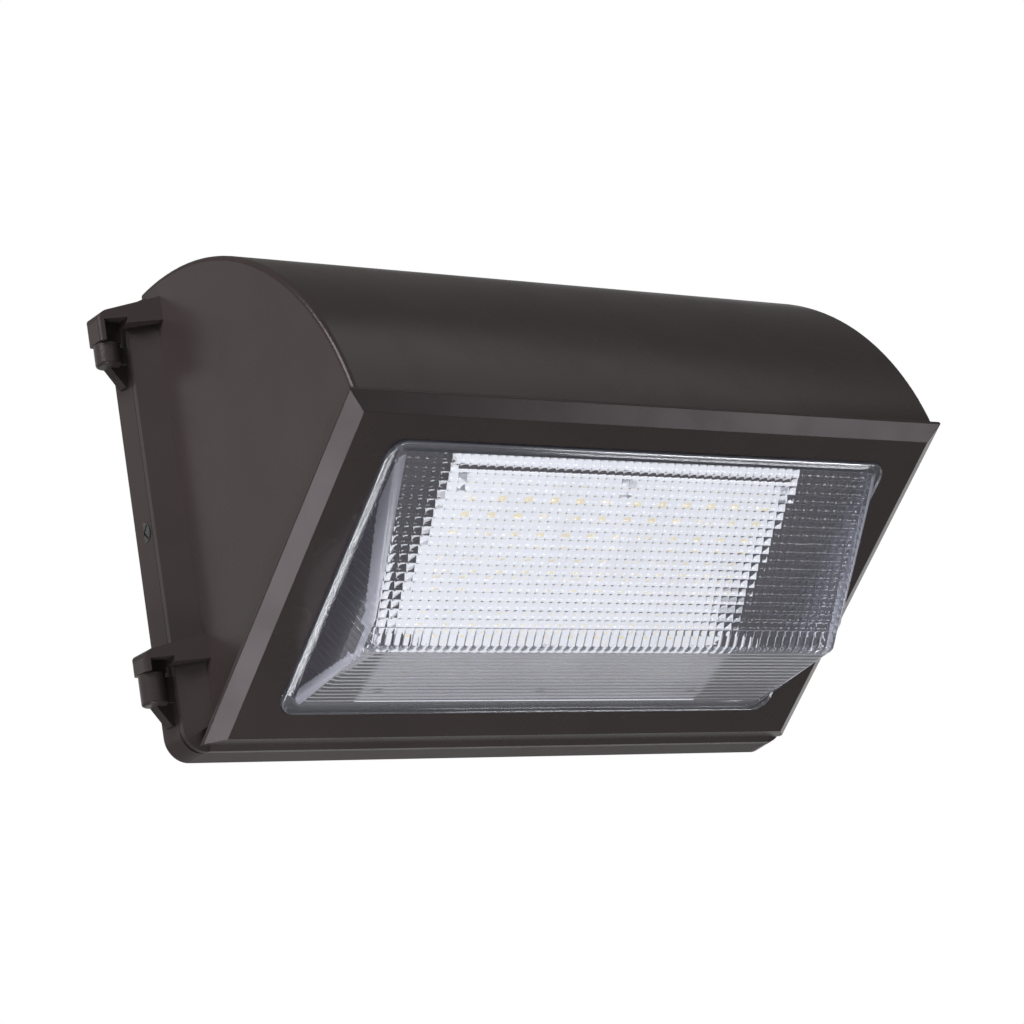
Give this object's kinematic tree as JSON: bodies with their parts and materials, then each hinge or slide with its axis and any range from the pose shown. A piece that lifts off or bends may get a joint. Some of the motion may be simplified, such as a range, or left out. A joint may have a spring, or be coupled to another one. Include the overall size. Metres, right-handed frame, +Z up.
{
  "type": "wall pack light",
  "caption": "Rectangular outdoor wall pack with a shallow wall box and a hinged D-shaped cast hood that carries a sloping bevelled frame and a prismatic wedge lens.",
  "frame": {"origin": "middle of the four wall fixing holes, on the wall plane", "axes": "+X to the right for someone facing the wall, +Y into the wall, +Z up"},
  "size_m": [0.4035, 0.1819, 0.235],
  "materials": {
    "bronze_casting": "fine-textured dark bronze powder coat on die-cast aluminium",
    "zinc_steel": "zinc plated",
    "bronze_screw": "dark coated",
    "green_steel": "green dyed",
    "black_rubber": "moulded silicone",
    "black_plastic": "matt",
    "white_plastic": "matt",
    "white_board": "white solder mask",
    "led_phosphor": "phosphor under clear silicone",
    "driver_metal": "plain folded sheet",
    "red_wire": "insulation",
    "black_wire": "insulation",
    "clear_lens": "pressed prismatic borosilicate glass"
  },
  "bodies": {
    "wall_box": {"back_box": "bronze_casting", "box_gasket": "black_rubber", "vent_plug": "black_plastic", "entry_grommet": "black_rubber", "ground_screw": "green_steel", "hinge_pins": "zinc_steel"},
    "door": {"hood": "bronze_casting", "lens_frame": "bronze_casting", "frame_gasket": "black_rubber", "frame_screws": "zinc_steel", "lens": "clear_lens", "lens_gasket": "black_rubber", "lens_clips": "zinc_steel", "lens_clip_screws": "zinc_steel", "heat_sink": "bronze_casting", "sink_screws": "zinc_steel", "reflector_sheet": "white_plastic", "led_board": "white_board", "led_chips": "led_phosphor", "board_screws": "zinc_steel", "board_connector": "white_plastic", "board_leads": "red_wire", "driver_case": "driver_metal", "driver_potting": "black_plastic", "driver_end_caps": "black_plastic", "driver_screws": "zinc_steel", "input_leads": "black_wire", "supply_connector": "white_plastic"},
    "upper_screw": {"upper_cover_screw": "bronze_screw", "upper_screw_retainer": "white_plastic"},
    "lower_screw": {"lower_cover_screw": "bronze_screw", "lower_screw_retainer": "white_plastic"}
  },
  "joints": [
    {"name": "door_hinge", "type": "hinge", "parent": "wall_box", "child": "door", "pos_m": [-0.197, -0.0105, 0.0064], "axis": [0, 0, -1], "range_deg": [0, 95]},
    {"name": "upper_screw_travel", "type": "slide", "parent": "door", "child": "upper_screw", "axis": [0, -1, 0], "range_m": [0, 0.0068]},
    {"name": "lower_screw_travel", "type": "slide", "parent": "door", "child": "lower_screw", "axis": [0, -1, 0], "range_m": [0, 0.0068]}
  ]
}
